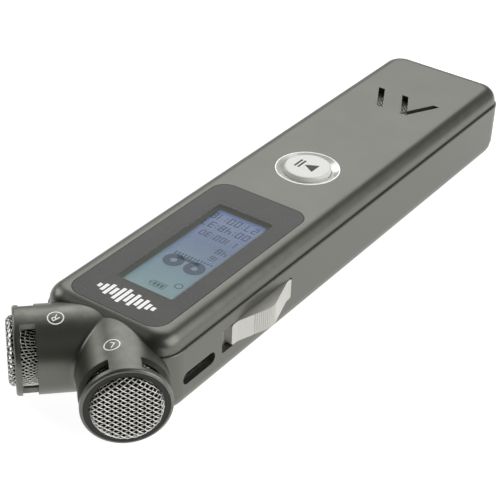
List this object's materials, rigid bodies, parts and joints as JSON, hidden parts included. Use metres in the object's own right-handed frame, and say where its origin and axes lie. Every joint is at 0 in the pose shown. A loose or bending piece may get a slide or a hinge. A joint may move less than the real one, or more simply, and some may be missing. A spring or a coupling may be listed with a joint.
{
  "type": "handheld voice recorder",
  "caption": "Slim handheld voice recorder with a V-shaped twin microphone head, a display window, a round play button, a side record slider and slanted speaker slots.",
  "frame": {"origin": "middle of the casing's flat back", "axes": "+Z out of the display, +Y from the microphone head to the speaker end, +X the side with the USB socket and the record slider"},
  "size_m": [0.0306, 0.1164, 0.0142],
  "materials": {
    "casing_paint": "satin metallic dark grey paint on moulded plastic",
    "window": "glossy, dark tinted",
    "lcd_face": "smooth lit display face",
    "white_plastic": "fine satin",
    "silver_plastic": "satin silver paint",
    "black_plastic": "fine matte",
    "dark_metal": "satin dark anodised",
    "bezel_chrome": "polished",
    "wire_mesh": "woven bright wire",
    "plated_steel": "bright plated",
    "screw_steel": "black passivated",
    "boot_rubber": "matte",
    "board_laminate": "solder-masked laminate",
    "copper_film": "amber film",
    "cell_pouch": "satin foil",
    "foam": "open foam",
    "lead_wire": "wire jacket",
    "cone_film": "thin film"
  },
  "bodies": {
    "casing": {"battery_cell": "cell_pouch", "battery_pad": "foam", "button_bezel": "bezel_chrome", "capsule_boot_left": "boot_rubber", "capsule_boot_right": "boot_rubber", "display_window": "window", "front_shell": "casing_paint", "grille_ring_left": "dark_metal", "grille_ring_right": "dark_metal", "headphone_jack": "black_plastic", "housing_screws": "screw_steel", "lcd_backlight": "white_plastic", "lcd_flex": "copper_film", "lcd_frame": "black_plastic", "lcd_glass": "lcd_face", "main_board": "board_laminate", "memory_chip": "black_plastic", "menu_switch_body": "black_plastic", "mesh_basket_left": "wire_mesh", "mesh_basket_right": "wire_mesh", "mic_capsule_left": "plated_steel", "mic_capsule_right": "plated_steel", "mic_head_shell": "casing_paint", "mic_lead_left": "lead_wire", "mic_lead_right": "lead_wire", "mid_frame": "casing_paint", "play_switch_body": "black_plastic", "processor_chip": "black_plastic", "rear_cover": "casing_paint", "slide_switch_body": "plated_steel", "speaker_cone": "cone_film", "speaker_driver": "plated_steel", "speaker_gasket": "foam", "speaker_mesh": "wire_mesh", "usb_shell": "plated_steel", "usb_tongue": "black_plastic", "volume_down_switch_body": "black_plastic", "volume_up_switch_body": "black_plastic"},
    "play_key": {"play_button": "white_plastic", "play_switch_plunger": "black_plastic"},
    "record_switch": {"record_slider": "silver_plastic", "slide_switch_lever": "black_plastic"},
    "menu_press_key": {"menu_key": "casing_paint", "menu_switch_plunger": "black_plastic"},
    "volume_down_press_key": {"volume_down_key": "casing_paint", "volume_down_switch_plunger": "black_plastic"},
    "volume_up_press_key": {"volume_up_key": "casing_paint", "volume_up_switch_plunger": "black_plastic"}
  },
  "joints": [
    {"name": "play_press", "type": "slide", "parent": "casing", "child": "play_key", "axis": [0, 0, -1], "range_m": [0, 0.00035], "stiffness_N_per_m": 800},
    {"name": "record_slide", "type": "slide", "parent": "casing", "child": "record_switch", "axis": [0, -1, 0], "range_m": [0, 0.0022]},
    {"name": "menu_press", "type": "slide", "parent": "casing", "child": "menu_press_key", "axis": [1, 0, 0], "range_m": [0, 0.0003], "stiffness_N_per_m": 600},
    {"name": "volume_down_press", "type": "slide", "parent": "casing", "child": "volume_down_press_key", "axis": [1, 0, 0], "range_m": [0, 0.0003], "stiffness_N_per_m": 600},
    {"name": "volume_up_press", "type": "slide", "parent": "casing", "child": "volume_up_press_key", "axis": [1, 0, 0], "range_m": [0, 0.0003], "stiffness_N_per_m": 600}
  ]
}
